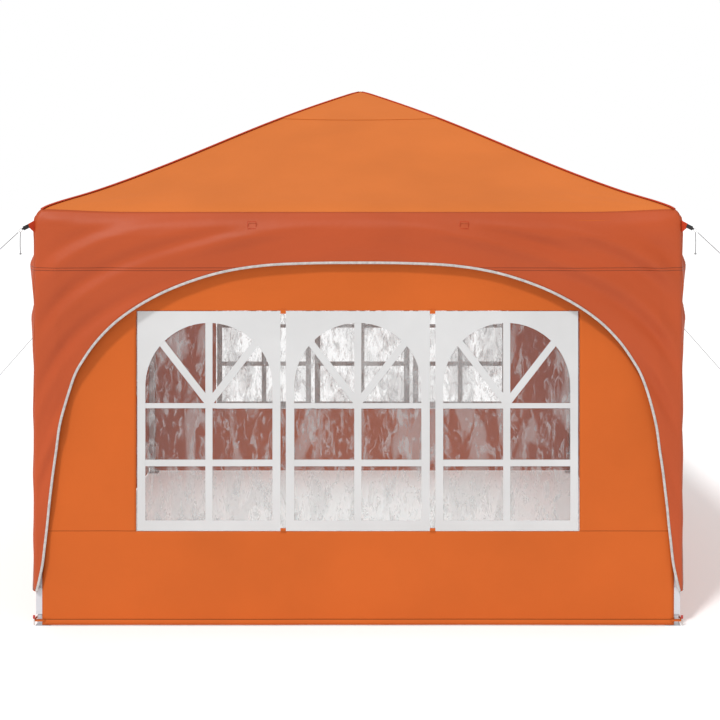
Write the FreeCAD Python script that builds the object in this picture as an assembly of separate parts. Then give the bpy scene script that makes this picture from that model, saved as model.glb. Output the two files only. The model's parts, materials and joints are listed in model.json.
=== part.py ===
"""A 3 m square pop-up shelter: a folding scissor frame, a canopy with arched skirts and four walls.

Millimetres, +Z up, origin on the ground at the middle of the frame, front towards -Y.
Everything but the ropes repeats four times round the Z axis, so each quarter is made once, for the
front side and the front-left corner, and turned by 90 degrees for the others.
"""
import FreeCAD
import Part

import math
import os

from FreeCAD import Vector

# Overall sizes
LEG_AT = 1472.0          # leg axis from the middle, along X and along Y
CANOPY_HALF = 1500.0     # outer face of the skirt
EAVE_Z = 1915.0          # fold between roof and skirt
PEAK_Z = 2572.0
ROOF_SWAY = 0.019        # sag of the roof low down, and rise high up, as a share of its height
FABRIC = 1.0             # thickness of the cloth solids
FILM = 0.3               # thickness of the window sheets

# Scissor frame
TOP_PIVOT_Z = 1850.0     # corner bracket and hub pivots
SLIDER_DROP = 300.0      # slider pivot below the bracket pivot when open
PIVOT_OUT = 64.0         # pivot from the leg axis, along the bar
HUB_PIVOT = 32.0         # strut pivot from the mast axis
JOINT_PIVOT = PIVOT_OUT - HUB_PIVOT   # strut pivot from the truss plane
BAR_SPAN = LEG_AT - PIVOT_OUT
BAR_LENGTH = math.hypot(BAR_SPAN, SLIDER_DROP)
BAR_SLOPE = math.degrees(math.atan2(SLIDER_DROP, BAR_SPAN))
BAR_HALF = 12.0          # half the height of a bar's section
BAR_THICK = 12.0
BAR_WALL = 0.8
BAR_END = 10.0           # bar beyond its end pivot
LAP = 7.0                # centre of a lapped bar from the truss plane
LOW_PIVOT_Z = TOP_PIVOT_Z - SLIDER_DROP

# Rivets and clevises
RIVET_R = 3.0
HOLE_R = 3.05
HEAD_R = 5.5
HEAD_T = 1.5
HEAD_GAP = 0.2
CHEEK_GAP = 6.6          # clevis cheek from the middle of its bar
CHEEK_T = 3.0
CHEEK_HALF = 13.0
CHEEK_PAST = 12.0        # cheek beyond its pivot

# Legs
TUBE_HALF = 15.0
TUBE_WALL = 1.0
TUBE_BOTTOM = 70.0
TUBE_TOP = 1895.0
SLEEVE_HALF = 19.2
SLEEVE_BORE = 15.2
SLIDER_HALF = 20.0
SLIDER_BORE = 15.6
LOWER_HALF = 12.5
LOWER_WALL = 1.0
LOWER_TOP = 345.0
COLLAR_BORE = 12.8
COLLAR_TOP = 178.0
PIN_BELOW = 34.0         # lock pin below the slider pivot
BUTTON_Z = 130.0

# Feet
PLATE_T = 3.0
PLATE_OUT = 22.0         # foot plate beyond the leg axis, outwards
PLATE_IN = 50.0          # and inwards
STAKE_R = 4.5
STAKE_AT = 36.0          # stake hole inwards of the leg axis, along X and Y

# Mast
MAST_R = 12.5
MAST_BORE = 12.8
MAST_WALL = 1.5
MAST_BOTTOM = 1800.0
CAP_Z = 2515.0
CAP_R = 45.0

# Cloth
ARCH_HALF = 1485.0       # arch opening at its foot
ARCH_FOOT = 163.0
ARCH_TOP = 1680.0
WALL_FACE = 1494.5       # outer face of a wall
WALL_HALF = 1462.0
WALL_BOTTOM = 6.0
WALL_TOP = 1880.0
WINDOW_HALF = 1023.0
WINDOW_BOTTOM = 441.0
WINDOW_TOP = 1457.0
SEAM_GAP = 0.5

# Corner tabs and guy ropes
RING_Z = 1834.0
RING_OUT = 66.5          # ring centre from the skirt's corner, along the diagonal
RING_R = 8.0
RING_WIRE = 1.5
ROPE_R = 2.0
ROPE_SLOPE = (1.0, 0.62, -1.04)   # outwards along X, outwards along Y, down
FRONT_ROPE_REACH = 190.0          # along X
BACK_ROPE_REACH = 1270.0
ROPE_SAG = 0.006                  # of a rope's length, at its middle
TAIL_LENGTH = 95.0
KNOT_R = 6.0

SIDES = ("front", "right", "back", "left")
CORNERS = ("front_left", "front_right", "back_right", "back_left")
ENDS = (("left", "right"), ("front", "back"), ("right", "left"), ("back", "front"))
X, Y, Z = Vector(1, 0, 0), Vector(0, 1, 0), Vector(0, 0, 1)


def box(x0, x1, y0, y1, z0, z1):
    """A block between two corners."""
    return Part.makeBox(x1 - x0, y1 - y0, z1 - z0, Vector(x0, y0, z0))


def rod(radius, start, axis, length):
    return Part.makeCylinder(radius, length, start, axis)


def prism(points, depth):
    """A closed outline of points, pushed along a vector."""
    return Part.Face(Part.makePolygon(points + points[:1])).extrude(depth)


def rivet(centre, axis, half_grip):
    """A rivet through a joint, with a head each side."""
    face = half_grip + HEAD_GAP
    shank = rod(RIVET_R, centre - axis * face, axis, 2 * face)
    heads = [rod(HEAD_R, centre + axis * at, axis, HEAD_T) for at in (face, -face - HEAD_T)]
    return shank.fuse(heads).removeSplitter()


def bar(start, end):
    """A flat tube between two pivots in an XZ plane, drilled at its ends and middle."""
    h, e, cut = BAR_HALF, BAR_END, BAR_HALF / 2
    half = [(-e + cut, -h), (-e, -h + cut), (-e, h - cut), (-e + cut, h)]
    outline = half + [(BAR_LENGTH - x, z) for x, z in reversed(half)]
    body = prism([Vector(x, -BAR_THICK / 2, z) for x, z in outline], Y * BAR_THICK)
    inner, inside = BAR_THICK / 2 - BAR_WALL, h - BAR_WALL
    body = body.cut(box(-2 * e, BAR_LENGTH + 2 * e, -inner, inner, -inside, inside))
    for at in (0, BAR_LENGTH / 2, BAR_LENGTH):
        body = body.cut(rod(HOLE_R, Vector(at, -BAR_THICK, 0), Y, 2 * BAR_THICK))
    slope = math.degrees(math.atan2(end.z - start.z, end.x - start.x))
    body.rotate(Vector(), Y, -slope)
    body.translate(start)
    return body


def clevis(root, pivot):
    """Two cheeks that run along X from root to a bar's pivot, at root's height and in the bar's plane."""
    way = math.copysign(1, pivot.x - root.x)
    x0, x1 = sorted((root.x, pivot.x + way * CHEEK_PAST))
    cheeks = []
    for side in (-1, 1):
        y0, y1 = sorted((pivot.y + side * CHEEK_GAP, pivot.y + side * (CHEEK_GAP + CHEEK_T)))
        cheeks.append(box(x0, x1, y0, y1, pivot.z - CHEEK_HALF, pivot.z + CHEEK_HALF))
    return cheeks


def drilled(shape, *holes):
    """shape with a rivet hole through each (centre, axis)."""
    for centre, axis in holes:
        shape = shape.cut(rod(HOLE_R, centre - axis * 60, axis, 120))
    return shape


def quarter(shape, k):
    """shape turned by k quarter turns about the mast."""
    turned = shape.copy()
    turned.rotate(Vector(), Z, 90 * k)
    return turned


def swap(shape):
    """shape mirrored in the corner's diagonal, which swaps X and Y."""
    return shape.mirror(Vector(), Vector(1, -1, 0))


# Pivots of the front truss
TRUSS_Y = -LEG_AT
OUTER_Y = TRUSS_Y - LAP
INNER_Y = TRUSS_Y + LAP


def truss_bars():
    """The front truss: (corner bar, slider bar) at its left end, then at its right end."""
    pairs = []
    for way, corner_y, slider_y in ((-1, OUTER_Y, INNER_Y), (1, INNER_Y, OUTER_Y)):
        outer_x = way * (LEG_AT - PIVOT_OUT)
        corner_bar = bar(Vector(outer_x, corner_y, TOP_PIVOT_Z), Vector(0, corner_y, LOW_PIVOT_Z))
        slider_bar = bar(Vector(outer_x, slider_y, LOW_PIVOT_Z), Vector(0, slider_y, TOP_PIVOT_Z))
        crossing = Vector(outer_x / 2, TRUSS_Y, (TOP_PIVOT_Z + LOW_PIVOT_Z) / 2)
        middle = rivet(crossing, Y, LAP + BAR_THICK / 2)
        pairs.append(([corner_bar, middle], [slider_bar]))
    top = Vector(0, TRUSS_Y, TOP_PIVOT_Z)
    pairs[0][1].append(rivet(top, Y, LAP + BAR_THICK / 2))
    return pairs


def hub_strut():
    """The bar from the hub down to the middle of the front truss."""
    strut = bar(Vector(HUB_PIVOT, 0, TOP_PIVOT_Z), Vector(LEG_AT - JOINT_PIVOT, 0, LOW_PIVOT_Z))
    return quarter(strut, -1)


def truss_joint():
    """The bracket at the low middle pivot of the front truss, which holds two bars and the strut."""
    face = LAP + BAR_THICK / 2 + 0.6
    far = face + CHEEK_T
    z = LOW_PIVOT_Z
    plates = [box(-12, 12, TRUSS_Y - far, TRUSS_Y - face, z - 22, z + CHEEK_HALF),
              box(-12, 12, TRUSS_Y + face, TRUSS_Y + far, z - 22, z + CHEEK_HALF),
              box(-12, 12, TRUSS_Y - far, TRUSS_Y + far, z - 22, z - 18)]
    strut_pivot = Vector(-TRUSS_Y - JOINT_PIVOT, 0, z)
    cheeks = [quarter(c, -1) for c in clevis(Vector(-TRUSS_Y - far, 0, z), strut_pivot)]
    middle = Vector(0, TRUSS_Y, z)
    strut_hole = Vector(0, TRUSS_Y + JOINT_PIVOT, z)
    body = plates[0].fuse(plates[1:] + cheeks).removeSplitter()
    body = drilled(body, (strut_hole, X)).cut(rod(HOLE_R, middle - Y * far, Y, 2 * far))
    return [body, rivet(middle, Y, far), rivet(strut_hole, X, CHEEK_GAP + CHEEK_T)]


def centre_hub():
    """The block that the four struts hang from and the mast slides through."""
    z, half = TOP_PIVOT_Z, 18
    body = box(-half, half, -half, half, z - 22, z + 22)
    arms, rivets = [], []
    for k in range(4):
        cheeks = clevis(Vector(half, 0, z), Vector(HUB_PIVOT, 0, z))
        arms += [quarter(c, k) for c in cheeks]
        rivets.append(quarter(rivet(Vector(HUB_PIVOT, 0, z), Y, CHEEK_GAP + CHEEK_T), k))
    body = body.fuse(arms).removeSplitter()
    for k in range(4):
        hole = rod(HOLE_R, Vector(HUB_PIVOT, -CHEEK_GAP - CHEEK_T, z), Y, 2 * (CHEEK_GAP + CHEEK_T))
        body = body.cut(quarter(hole, k))
    return [body.cut(rod(MAST_BORE, Vector(0, 0, z - 30), Z, 60))] + rivets


def peak_mast():
    """The mast tube and the cap that carries the cloth."""
    tube = rod(MAST_R, Vector(0, 0, MAST_BOTTOM), Z, CAP_Z + 10 - MAST_BOTTOM)
    tube = tube.cut(rod(MAST_R - MAST_WALL, Vector(0, 0, MAST_BOTTOM - 1), Z, CAP_Z + 9 - MAST_BOTTOM))
    cap = Part.makeCone(CAP_R * 0.5, CAP_R, 25, Vector(0, 0, CAP_Z), Z)
    cap = cap.cut(rod(MAST_R, Vector(0, 0, CAP_Z), Z, 10))
    return [tube, cap]


def corner_arms(height, planes):
    """Clevises and rivets of a front-left bracket, for the front truss and then the left one.

    planes gives how far outside the truss plane each of the two bars lies."""
    cheeks, holes, rivets = [], [], []
    for outwards, turn in zip(planes, (lambda s: s, swap)):
        pivot = Vector(-LEG_AT + PIVOT_OUT, -LEG_AT - outwards, height)
        cheeks += [turn(c) for c in clevis(Vector(-LEG_AT + SLEEVE_HALF - 1, pivot.y, height), pivot)]
        holes.append(turn(rod(HOLE_R, pivot - Y * 20, Y, 40)))
        rivets.append(turn(rivet(pivot, Y, CHEEK_GAP + CHEEK_T)))
    return cheeks, holes, rivets


def square_tube(half, wall, z0, z1):
    """A square tube standing on the front-left leg's axis. No wall makes it solid."""
    c = -LEG_AT
    outer = box(c - half, c + half, c - half, c + half, z0, z1)
    if not wall:
        return outer
    inner = half - wall
    return outer.cut(box(c - inner, c + inner, c - inner, c + inner, z0 - 1, z1 + 1))


def boss(reach, radius, z):
    """A round boss on the front-left leg's inner face, out to reach."""
    return rod(radius, Vector(-LEG_AT + SLEEVE_HALF - 1, -LEG_AT, z), X, reach - SLEEVE_HALF + 1)


def leg():
    """The upper leg: tube, corner bracket with its top, and height collar with the button's boss."""
    tube = square_tube(TUBE_HALF, TUBE_WALL, TUBE_BOTTOM, TUBE_TOP)
    cheeks, holes, rivets = corner_arms(TOP_PIVOT_Z, (LAP, -LAP))
    bracket = square_tube(SLEEVE_HALF, SLEEVE_HALF - SLEEVE_BORE, TOP_PIVOT_Z - 35, TUBE_TOP)
    bracket = bracket.fuse(cheeks + [square_tube(SLEEVE_HALF, 0, TUBE_TOP + 0.2, TUBE_TOP + 8),
                                     square_tube(SLEEVE_HALF, 2, TUBE_TOP - 1, TUBE_TOP + 1)])
    for hole in holes:
        bracket = bracket.cut(hole)
    collar = square_tube(SLEEVE_HALF, SLEEVE_HALF - SLEEVE_BORE, TUBE_BOTTOM - 0.2, COLLAR_TOP)
    lip = square_tube(SLEEVE_HALF, SLEEVE_HALF - COLLAR_BORE, TUBE_BOTTOM - 15, TUBE_BOTTOM - 0.2)
    collar = collar.fuse([lip, boss(30, 9, BUTTON_Z)])
    collar = collar.cut(rod(5.1, Vector(-LEG_AT + SLEEVE_BORE - 1, -LEG_AT, BUTTON_Z), X, 30))
    return [tube, bracket.removeSplitter(), collar.removeSplitter()] + rivets


def leg_button():
    """The push button in the height collar."""
    body = rod(5.0, Vector(-LEG_AT + 20.5, -LEG_AT, BUTTON_Z), X, 14.5)
    return body.makeChamfer(1.0, [body.Edges[0]])


def slider():
    """The bracket that runs on the leg and carries the slider bars."""
    cheeks, holes, rivets = corner_arms(LOW_PIVOT_Z, (-LAP, LAP))
    body = square_tube(SLIDER_HALF, SLIDER_HALF - SLIDER_BORE, LOW_PIVOT_Z - 48, LOW_PIVOT_Z + 18)
    body = body.fuse(cheeks + [boss(30, 8, LOW_PIVOT_Z - PIN_BELOW)])
    for hole in holes:
        body = body.cut(hole)
    pin_way = rod(4.1, Vector(-LEG_AT + SLIDER_BORE - 1, -LEG_AT, LOW_PIVOT_Z - PIN_BELOW), X, 30)
    body = body.cut(pin_way)
    leg_way = square_tube(SLIDER_BORE, 0, LOW_PIVOT_Z - 50, LOW_PIVOT_Z + 20)
    return [body.cut(leg_way).removeSplitter()] + rivets


def slider_pin():
    """The pull pin that locks the slider, with its knob."""
    foot = Vector(-LEG_AT + 17, -LEG_AT, LOW_PIVOT_Z - PIN_BELOW)
    return rod(4.0, foot, X, 16).fuse(rod(9.0, foot + X * 14, X, 6)).removeSplitter()


def lower_leg():
    """The lower leg: tube, foot with its plate and stake hole, and the two bolts of the foot."""
    c = -LEG_AT
    tube = square_tube(LOWER_HALF, LOWER_WALL, PLATE_T + 0.2, LOWER_TOP)
    plate = box(c - PLATE_OUT, c + PLATE_IN, c - PLATE_OUT, c + PLATE_IN, 0, PLATE_T)
    upright = [e for e in plate.Edges if abs(e.Length - PLATE_T) < 0.01]
    plate = plate.makeFillet(10, upright)
    plug_half = LOWER_HALF - LOWER_WALL - 0.3
    foot = plate.fuse(square_tube(plug_half, 2, PLATE_T - 0.5, 70))
    foot = foot.cut(rod(STAKE_R, Vector(c + STAKE_AT, c + STAKE_AT, -1), Z, PLATE_T + 2))
    bolts = []
    for z in (24, 46):
        across = rod(HOLE_R, Vector(c, c - 20, z), Y, 40)
        tube, foot = tube.cut(across), foot.cut(across)
        bolts.append(rivet(Vector(c, c, z), Y, LOWER_HALF))
    return [tube, foot] + bolts


def roof_height(share):
    """Top of the roof at a share of the way from eave to peak."""
    return EAVE_Z + (PEAK_Z - EAVE_Z) * (share - ROOF_SWAY * math.sin(2 * math.pi * share))


def roof_panel():
    """The front quarter of the roof, which dips near the eave and swells near the peak."""
    steps = 8
    top = [Vector(0, -CANOPY_HALF * (1 - i / steps), roof_height(i / steps)) for i in range(steps + 1)]
    profile = [p - X * CANOPY_HALF for p in top]
    profile += [p - Z * FABRIC for p in reversed(profile)]
    strip = prism(profile, X * 2 * CANOPY_HALF)
    tip = 8.0
    wedge = [Vector(-CANOPY_HALF + SEAM_GAP, -CANOPY_HALF, 0), Vector(CANOPY_HALF - SEAM_GAP, -CANOPY_HALF, 0),
             Vector(tip - SEAM_GAP, -tip, 0), Vector(-tip + SEAM_GAP, -tip, 0)]
    return strip.common(prism(wedge, Z * 3000))


def arch_opening():
    """The arched opening of the front skirt, as a solid through it."""
    half = [(ARCH_HALF, ARCH_FOOT), (1456, 290), (1425, 560), (1368, 961), (1241, 1270), (1104, 1420), (828, 1577),
            (460, 1668), (230, ARCH_TOP)]
    points = [Vector(x, 0, z) for x, z in half] + [Vector(-x, 0, z) for x, z in reversed(half)]
    curve = Part.BSplineCurve()
    curve.interpolate(points)
    foot = [points[-1], Vector(-ARCH_HALF, 0, 0), Vector(ARCH_HALF, 0, 0), points[0]]
    outline = Part.Wire([curve.toShape()] + Part.makePolygon(foot).Edges)
    opening = Part.Face(outline).extrude(Y * 40)
    opening.translate(Vector(0, -CANOPY_HALF - 20, 0))
    return opening


def skirt_panel():
    """The front skirt, mitred at the corners, with its arch."""
    y0, y1, top = -CANOPY_HALF, -CANOPY_HALF + FABRIC, EAVE_Z - 3
    x0, x1 = CANOPY_HALF - SEAM_GAP, CANOPY_HALF - SEAM_GAP - FABRIC
    plan = [Vector(-x0, y0, ARCH_FOOT), Vector(x0, y0, ARCH_FOOT),
            Vector(x1, y1, ARCH_FOOT), Vector(-x1, y1, ARCH_FOOT)]
    return prism(plan, Z * (top - ARCH_FOOT)).cut(arch_opening())


def corner_tab():
    """The guy tab at the front-left corner: cloth, webbing and ring, made along -X and turned."""
    cloth = prism([Vector(-1, -1, RING_Z - 18), Vector(-22, -1, RING_Z + 10),
                   Vector(-29, -1, RING_Z + 28), Vector(-1, -1, RING_Z + 47)], Y * 2)
    webbing = prism([Vector(-22.2, -1.5, RING_Z + 10), Vector(-47, -1.5, RING_Z - 1),
                     Vector(-54, -1.5, RING_Z + 17), Vector(-29.2, -1.5, RING_Z + 28)], Y * 3)
    ring = Part.makeTorus(RING_R, RING_WIRE, Vector(-RING_OUT, 0, RING_Z), Y)
    tab = []
    for piece in (cloth, webbing, ring):
        piece.rotate(Vector(), Z, 45)
        piece.translate(Vector(-CANOPY_HALF, -CANOPY_HALF, 0))
        tab.append(piece)
    return tab


def wall(windowed):
    """The front wall. Its window opening is filled by a sheet."""
    y0 = -WALL_FACE
    plate = box(-WALL_HALF, WALL_HALF, y0, y0 + FABRIC, WALL_BOTTOM, WALL_TOP)
    if windowed:
        plate = plate.cut(box(-WINDOW_HALF, WINDOW_HALF, y0 - 1, y0 + 5, WINDOW_BOTTOM, WINDOW_TOP))
    return plate


def window_sheet():
    """The clear sheet in the front wall's opening."""
    half, y0 = WINDOW_HALF - SEAM_GAP, -WALL_FACE + 0.4
    return box(-half, half, y0, y0 + FILM, WINDOW_BOTTOM + SEAM_GAP, WINDOW_TOP - SEAM_GAP)


def bent_cord(start, corner, end):
    """A round cord of two straight runs joined by a tangent arc, with a knot at its end."""
    to_start, to_end = start - corner, end - corner
    half_turn = (math.pi - to_start.getAngle(to_end)) / 2
    radius = 0.45 * min(to_start.Length, to_end.Length) / math.tan(half_turn)
    cut = radius * math.tan(half_turn)
    first, last = corner + to_start.normalize() * cut, corner + to_end.normalize() * cut
    bisector = (to_start + to_end).normalize()
    middle = corner + bisector * radius * (1 / math.cos(half_turn) - 1)
    route = Part.Wire([Part.LineSegment(start, first).toShape(), Part.Arc(first, middle, last).toShape(),
                       Part.LineSegment(last, end).toShape()])
    section = Part.Wire(Part.makeCircle(ROPE_R, start, first - start))
    tube = route.makePipeShell([section], True, False)
    knot_at = end + to_end * 0.6 * KNOT_R
    print("cord", round(route.Length, 1), "mm long, bend radius", round(radius, 1))
    return tube.fuse(Part.makeSphere(KNOT_R, knot_at)).removeSplitter()


def guy_rope(sx, sy):
    """The taut rope from a corner's ring, and its loose tail, for a corner's signs in X and Y."""
    ring_at = CANOPY_HALF + RING_OUT / math.sqrt(2)
    ring = Vector(sx * ring_at, sy * ring_at, RING_Z)
    slope = Vector(sx * ROPE_SLOPE[0], sy * ROPE_SLOPE[1], ROPE_SLOPE[2])
    reach = FRONT_ROPE_REACH if sy < 0 else BACK_ROPE_REACH
    way = Vector(slope).normalize()
    off = RING_R + RING_WIRE + 0.1
    start, end = ring + way * off, ring + slope * reach
    sag = Z * (end - start).Length * ROPE_SAG
    rope = bent_cord(start, (start + end) * 0.5 - sag, end)
    hang = ring - Z * off
    aside = Vector(sx, sy, 0) * 2.5
    tail = bent_cord(hang, hang - Z * TAIL_LENGTH * 0.5 + aside, hang - Z * TAIL_LENGTH)
    return [rope, tail]


def build():
    """Every node's solids, by name."""
    nodes = {"centre_hub": centre_hub(), "peak_mast": peak_mast(), "canopy_skirt": [], "window_sheets": []}
    pairs, joint, strut = truss_bars(), truss_joint(), hub_strut()
    upper, lower, runner = leg(), lower_leg(), slider()
    button, pin = leg_button(), slider_pin()
    panel, skirt, tab = roof_panel(), skirt_panel(), corner_tab()
    walls = (wall(True), wall(False))
    signs = ((-1, -1), (1, -1), (1, 1), (-1, 1))
    for k, (side, corner) in enumerate(zip(SIDES, CORNERS)):
        turned = {
            f"hub_strut_{side}": [strut],
            f"truss_joint_{side}": joint,
            f"leg_{corner}": upper,
            f"lower_leg_{corner}": lower,
            f"slider_{corner}": runner,
            f"slider_pin_{corner}": [pin],
            f"leg_button_{corner}": [button],
            f"roof_panel_{side}": [panel],
            f"wall_{side}": [walls[k % 2]],
        }
        for end, (corner_bar, slider_bar) in zip(ENDS[k], pairs):
            turned[f"{side}_truss_corner_bar_{end}"] = corner_bar
            turned[f"{side}_truss_slider_bar_{end}"] = slider_bar
        for name, shapes in turned.items():
            nodes[name] = [quarter(s, k) for s in shapes]
        nodes["canopy_skirt"] += [quarter(s, k) for s in [skirt] + tab]
        nodes[f"guy_rope_{corner}"] = guy_rope(*signs[k])
        if k % 2 == 0:
            nodes["window_sheets"].append(quarter(window_sheet(), k))
    return nodes


os.makedirs("parts", exist_ok=True)
made = build()
for name, shapes in made.items():
    for shape in shapes:
        if not shape.isValid() or len(shape.Solids) != 1:
            raise ValueError(f"{name} holds a shape that is not one valid solid")
    solids = [shape.Solids[0] for shape in shapes]
    whole = solids[0] if len(solids) == 1 else Part.makeCompound(solids)
    whole.exportStep(f"parts/{name}.step")
print(len(made), "nodes,", sum(len(s) for s in made.values()), "solids")
print("bar slope", round(BAR_SLOPE, 3), "bar length", round(BAR_LENGTH, 2))
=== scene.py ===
"""The looks of a 3 m pop-up shelter: cloth roof, arched skirts, windowed walls, guy ropes and the frame's finishes.

Metres, +Z up, front towards -Y. Most pieces repeat on the four sides, so each is shaped once for the front
and turned about the Z axis.
"""

import json
import math

import bmesh
import bpy
from mathutils import Matrix, Vector, noise

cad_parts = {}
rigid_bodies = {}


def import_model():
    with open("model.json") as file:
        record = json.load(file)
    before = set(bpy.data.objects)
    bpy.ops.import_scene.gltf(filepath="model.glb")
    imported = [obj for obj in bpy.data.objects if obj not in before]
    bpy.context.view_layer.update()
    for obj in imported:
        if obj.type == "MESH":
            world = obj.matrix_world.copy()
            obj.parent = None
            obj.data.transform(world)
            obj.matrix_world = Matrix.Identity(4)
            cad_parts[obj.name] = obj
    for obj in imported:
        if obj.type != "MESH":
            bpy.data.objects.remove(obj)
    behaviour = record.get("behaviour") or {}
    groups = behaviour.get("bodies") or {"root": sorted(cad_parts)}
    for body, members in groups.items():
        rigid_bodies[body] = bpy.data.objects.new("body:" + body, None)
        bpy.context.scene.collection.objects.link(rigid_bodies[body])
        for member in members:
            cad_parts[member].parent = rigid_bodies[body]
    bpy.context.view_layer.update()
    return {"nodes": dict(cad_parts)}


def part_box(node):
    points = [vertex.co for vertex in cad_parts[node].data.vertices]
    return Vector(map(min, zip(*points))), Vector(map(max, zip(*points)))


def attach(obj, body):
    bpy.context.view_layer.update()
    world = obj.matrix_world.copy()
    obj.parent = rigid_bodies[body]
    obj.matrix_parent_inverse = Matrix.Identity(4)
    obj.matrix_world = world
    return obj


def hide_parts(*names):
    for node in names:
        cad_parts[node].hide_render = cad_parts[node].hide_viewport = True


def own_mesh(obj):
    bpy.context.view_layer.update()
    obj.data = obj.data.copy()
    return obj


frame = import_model()

bl_info = {
    "name": "Pop-up Shelter",
    "version": (1, 0, 0),
    "blender": (4, 5, 0),
    "location": "View3D > Sidebar > Shelter",
    "description": "Cloth, windows, ropes and finishes for a pop-up shelter",
    "category": "Object",
}

SIDES = ("front", "right", "back", "left")
CORNERS = ("front_left", "front_right", "back_right", "back_left")
CORNER_SIGNS = ((-1, -1), (1, -1), (1, 1), (-1, 1))
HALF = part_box("roof_panel_front")[1][0] + 0.0005
EAVE_Z = 1.915
PEAK_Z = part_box("roof_panel_front")[1][2] + 0.004
CORNER_ROUND = 0.020
ARCH = ((1.484, 0.163), (1.456, 0.290), (1.442, 0.409), (1.421, 0.593), (1.398, 0.777), (1.368, 0.961), (1.313, 1.145),
        (1.264, 1.237), (1.197, 1.329), (1.104, 1.420), (0.980, 1.504), (0.828, 1.577), (0.640, 1.637),
        (0.440, 1.670), (0.220, 1.681), (0.0, 1.683))
ARCH_FOOT = ARCH[0][1]
WALL_Y = -1.4938
WALL_HALF = 1.462
WINDOW = (-1.027, 1.025, 0.4395, 1.4595)
RING_Z = 1.834
RING_OUT = 0.0665
ROPE_PATHS = {
    "front": ((0.0093, 0.0058, -0.0096), (0.0997, 0.0619, -0.1055), (0.190, 0.1178, -0.1976)),
    "back": ((0.0062, 0.0039, -0.0065), (0.6381, 0.3956, -0.6755), (1.270, 0.7874, -1.3208)),
}


# Meshes

def quarter_turn(k):
    """The turn from the front to side k."""
    return Matrix.Rotation(math.radians(90 * k), 4, "Z")


def show(name, bm, material):
    """An object made of bm, in the scene and with a material."""
    mesh = bpy.data.meshes.new(name)
    bm.to_mesh(mesh)
    bm.free()
    mesh.materials.append(material)
    obj = bpy.data.objects.new(name, mesh)
    bpy.context.scene.collection.objects.link(obj)
    return obj


def grid(columns, rows, place):
    """A grid of columns by rows faces, with each corner moved to place(u, v), where u and v run from 0 to 1."""
    bm = bmesh.new()
    bm.loops.layers.uv.new("UVMap")
    bmesh.ops.create_grid(bm, x_segments=columns, y_segments=rows, size=0.5, calc_uvs=True)
    for vert in bm.verts:
        vert.co = place(min(1.0, max(0.0, vert.co.x + 0.5)), min(1.0, max(0.0, vert.co.y + 0.5)))
    for face in bm.faces:
        face.smooth = True
    return bm


def tube(columns, sides, line, across, up, width, height):
    """A closed oval tube along line(u), width across and height up, which are functions of u."""
    def place(u, v):
        turn = 2 * math.pi * v
        return line(u) + across(u) * (width * math.cos(turn) / 2) + up(u) * (height * math.sin(turn) / 2)
    bm = grid(columns, sides, place)
    bmesh.ops.remove_doubles(bm, verts=bm.verts, dist=1e-6)
    bmesh.ops.holes_fill(bm, edges=[e for e in bm.edges if e.is_boundary], sides=0)
    bmesh.ops.recalc_face_normals(bm, faces=bm.faces)
    return bm


def block(bm, low, high, bevel=0.0, segments=2):
    """Add a block between two corners to bm, with its edges rounded."""
    size = Vector(high) - Vector(low)
    made = bmesh.ops.create_cube(bm, size=1.0, matrix=Matrix.Translation((Vector(low) + Vector(high)) / 2))
    centre = (Vector(low) + Vector(high)) / 2
    for vert in made["verts"]:
        vert.co = centre + Vector([(c - m) * s for c, m, s in zip(vert.co, centre, size)])
    if bevel:
        edges = {e for v in made["verts"] for e in v.link_edges}
        bmesh.ops.bevel(bm, geom=list(edges), offset=bevel, segments=segments, profile=0.5, affect="EDGES",
                        material=-1)
    return bm


def turned(bm, k):
    """bm turned from the front to side k."""
    bmesh.ops.rotate(bm, cent=(0, 0, 0), matrix=quarter_turn(k).to_3x3(), verts=bm.verts)
    return bm


def thicken(obj, thickness):
    """Give a cloth its thickness, inwards."""
    solid = obj.modifiers.new("Thickness", "SOLIDIFY")
    solid.thickness = thickness
    solid.offset = -1.0
    return obj


def fold_with_frame(obj):
    """Give a cloth piece its own copy of its mesh."""
    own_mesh(obj)


def ripple(x, y, seed):
    """Smooth noise between about -1 and 1."""
    return noise.noise(Vector((x, y, seed * 7.3)))


def bell(distance, width):
    return math.exp(-(distance / width) ** 2)


# Materials

def new_material(name):
    """A material with its shader, and a function that adds nodes to it."""
    material = bpy.data.materials.new(name)
    material.use_nodes = True
    nodes, links = material.node_tree.nodes, material.node_tree.links
    shader = nodes["Principled BSDF"]

    def add(kind, inputs=None, **settings):
        node = nodes.new(kind)
        for key, value in settings.items():
            setattr(node, key, value)
        for key, value in (inputs or {}).items():
            if isinstance(value, bpy.types.NodeSocket):
                links.new(value, node.inputs[key])
            else:
                node.inputs[key].default_value = value
        return node
    return material, shader, links, add


def noise_at(add, scale, detail=3.0, roughness=0.5, stretch=None):
    """Noise on Object coordinates, stretched along the axes if asked."""
    vector = add("ShaderNodeTexCoord").outputs["Object"]
    if stretch:
        vector = add("ShaderNodeMapping", {"Vector": vector, "Scale": stretch}).outputs["Vector"]
    return add("ShaderNodeTexNoise", {"Vector": vector, "Scale": scale, "Detail": detail,
                                      "Roughness": roughness}).outputs["Fac"]


def shade_between(add, links, shader, fac, dark, light):
    """Colour from dark to light by fac."""
    ramp = add("ShaderNodeValToRGB", {"Fac": fac})
    ramp.color_ramp.elements[0].color = (*dark, 1)
    ramp.color_ramp.elements[1].color = (*light, 1)
    ramp.color_ramp.elements[0].position = 0.3
    ramp.color_ramp.elements[1].position = 0.7
    links.new(ramp.outputs["Color"], shader.inputs["Base Color"])
    return ramp


def band(add, height, centre, half_width):
    """1 within half_width of centre, and 0 elsewhere."""
    off = add("ShaderNodeMath", {0: height, 1: centre}, operation="SUBTRACT").outputs[0]
    off = add("ShaderNodeMath", {0: off}, operation="ABSOLUTE").outputs[0]
    return add("ShaderNodeMath", {0: off, 1: half_width}, operation="LESS_THAN").outputs[0]


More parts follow.
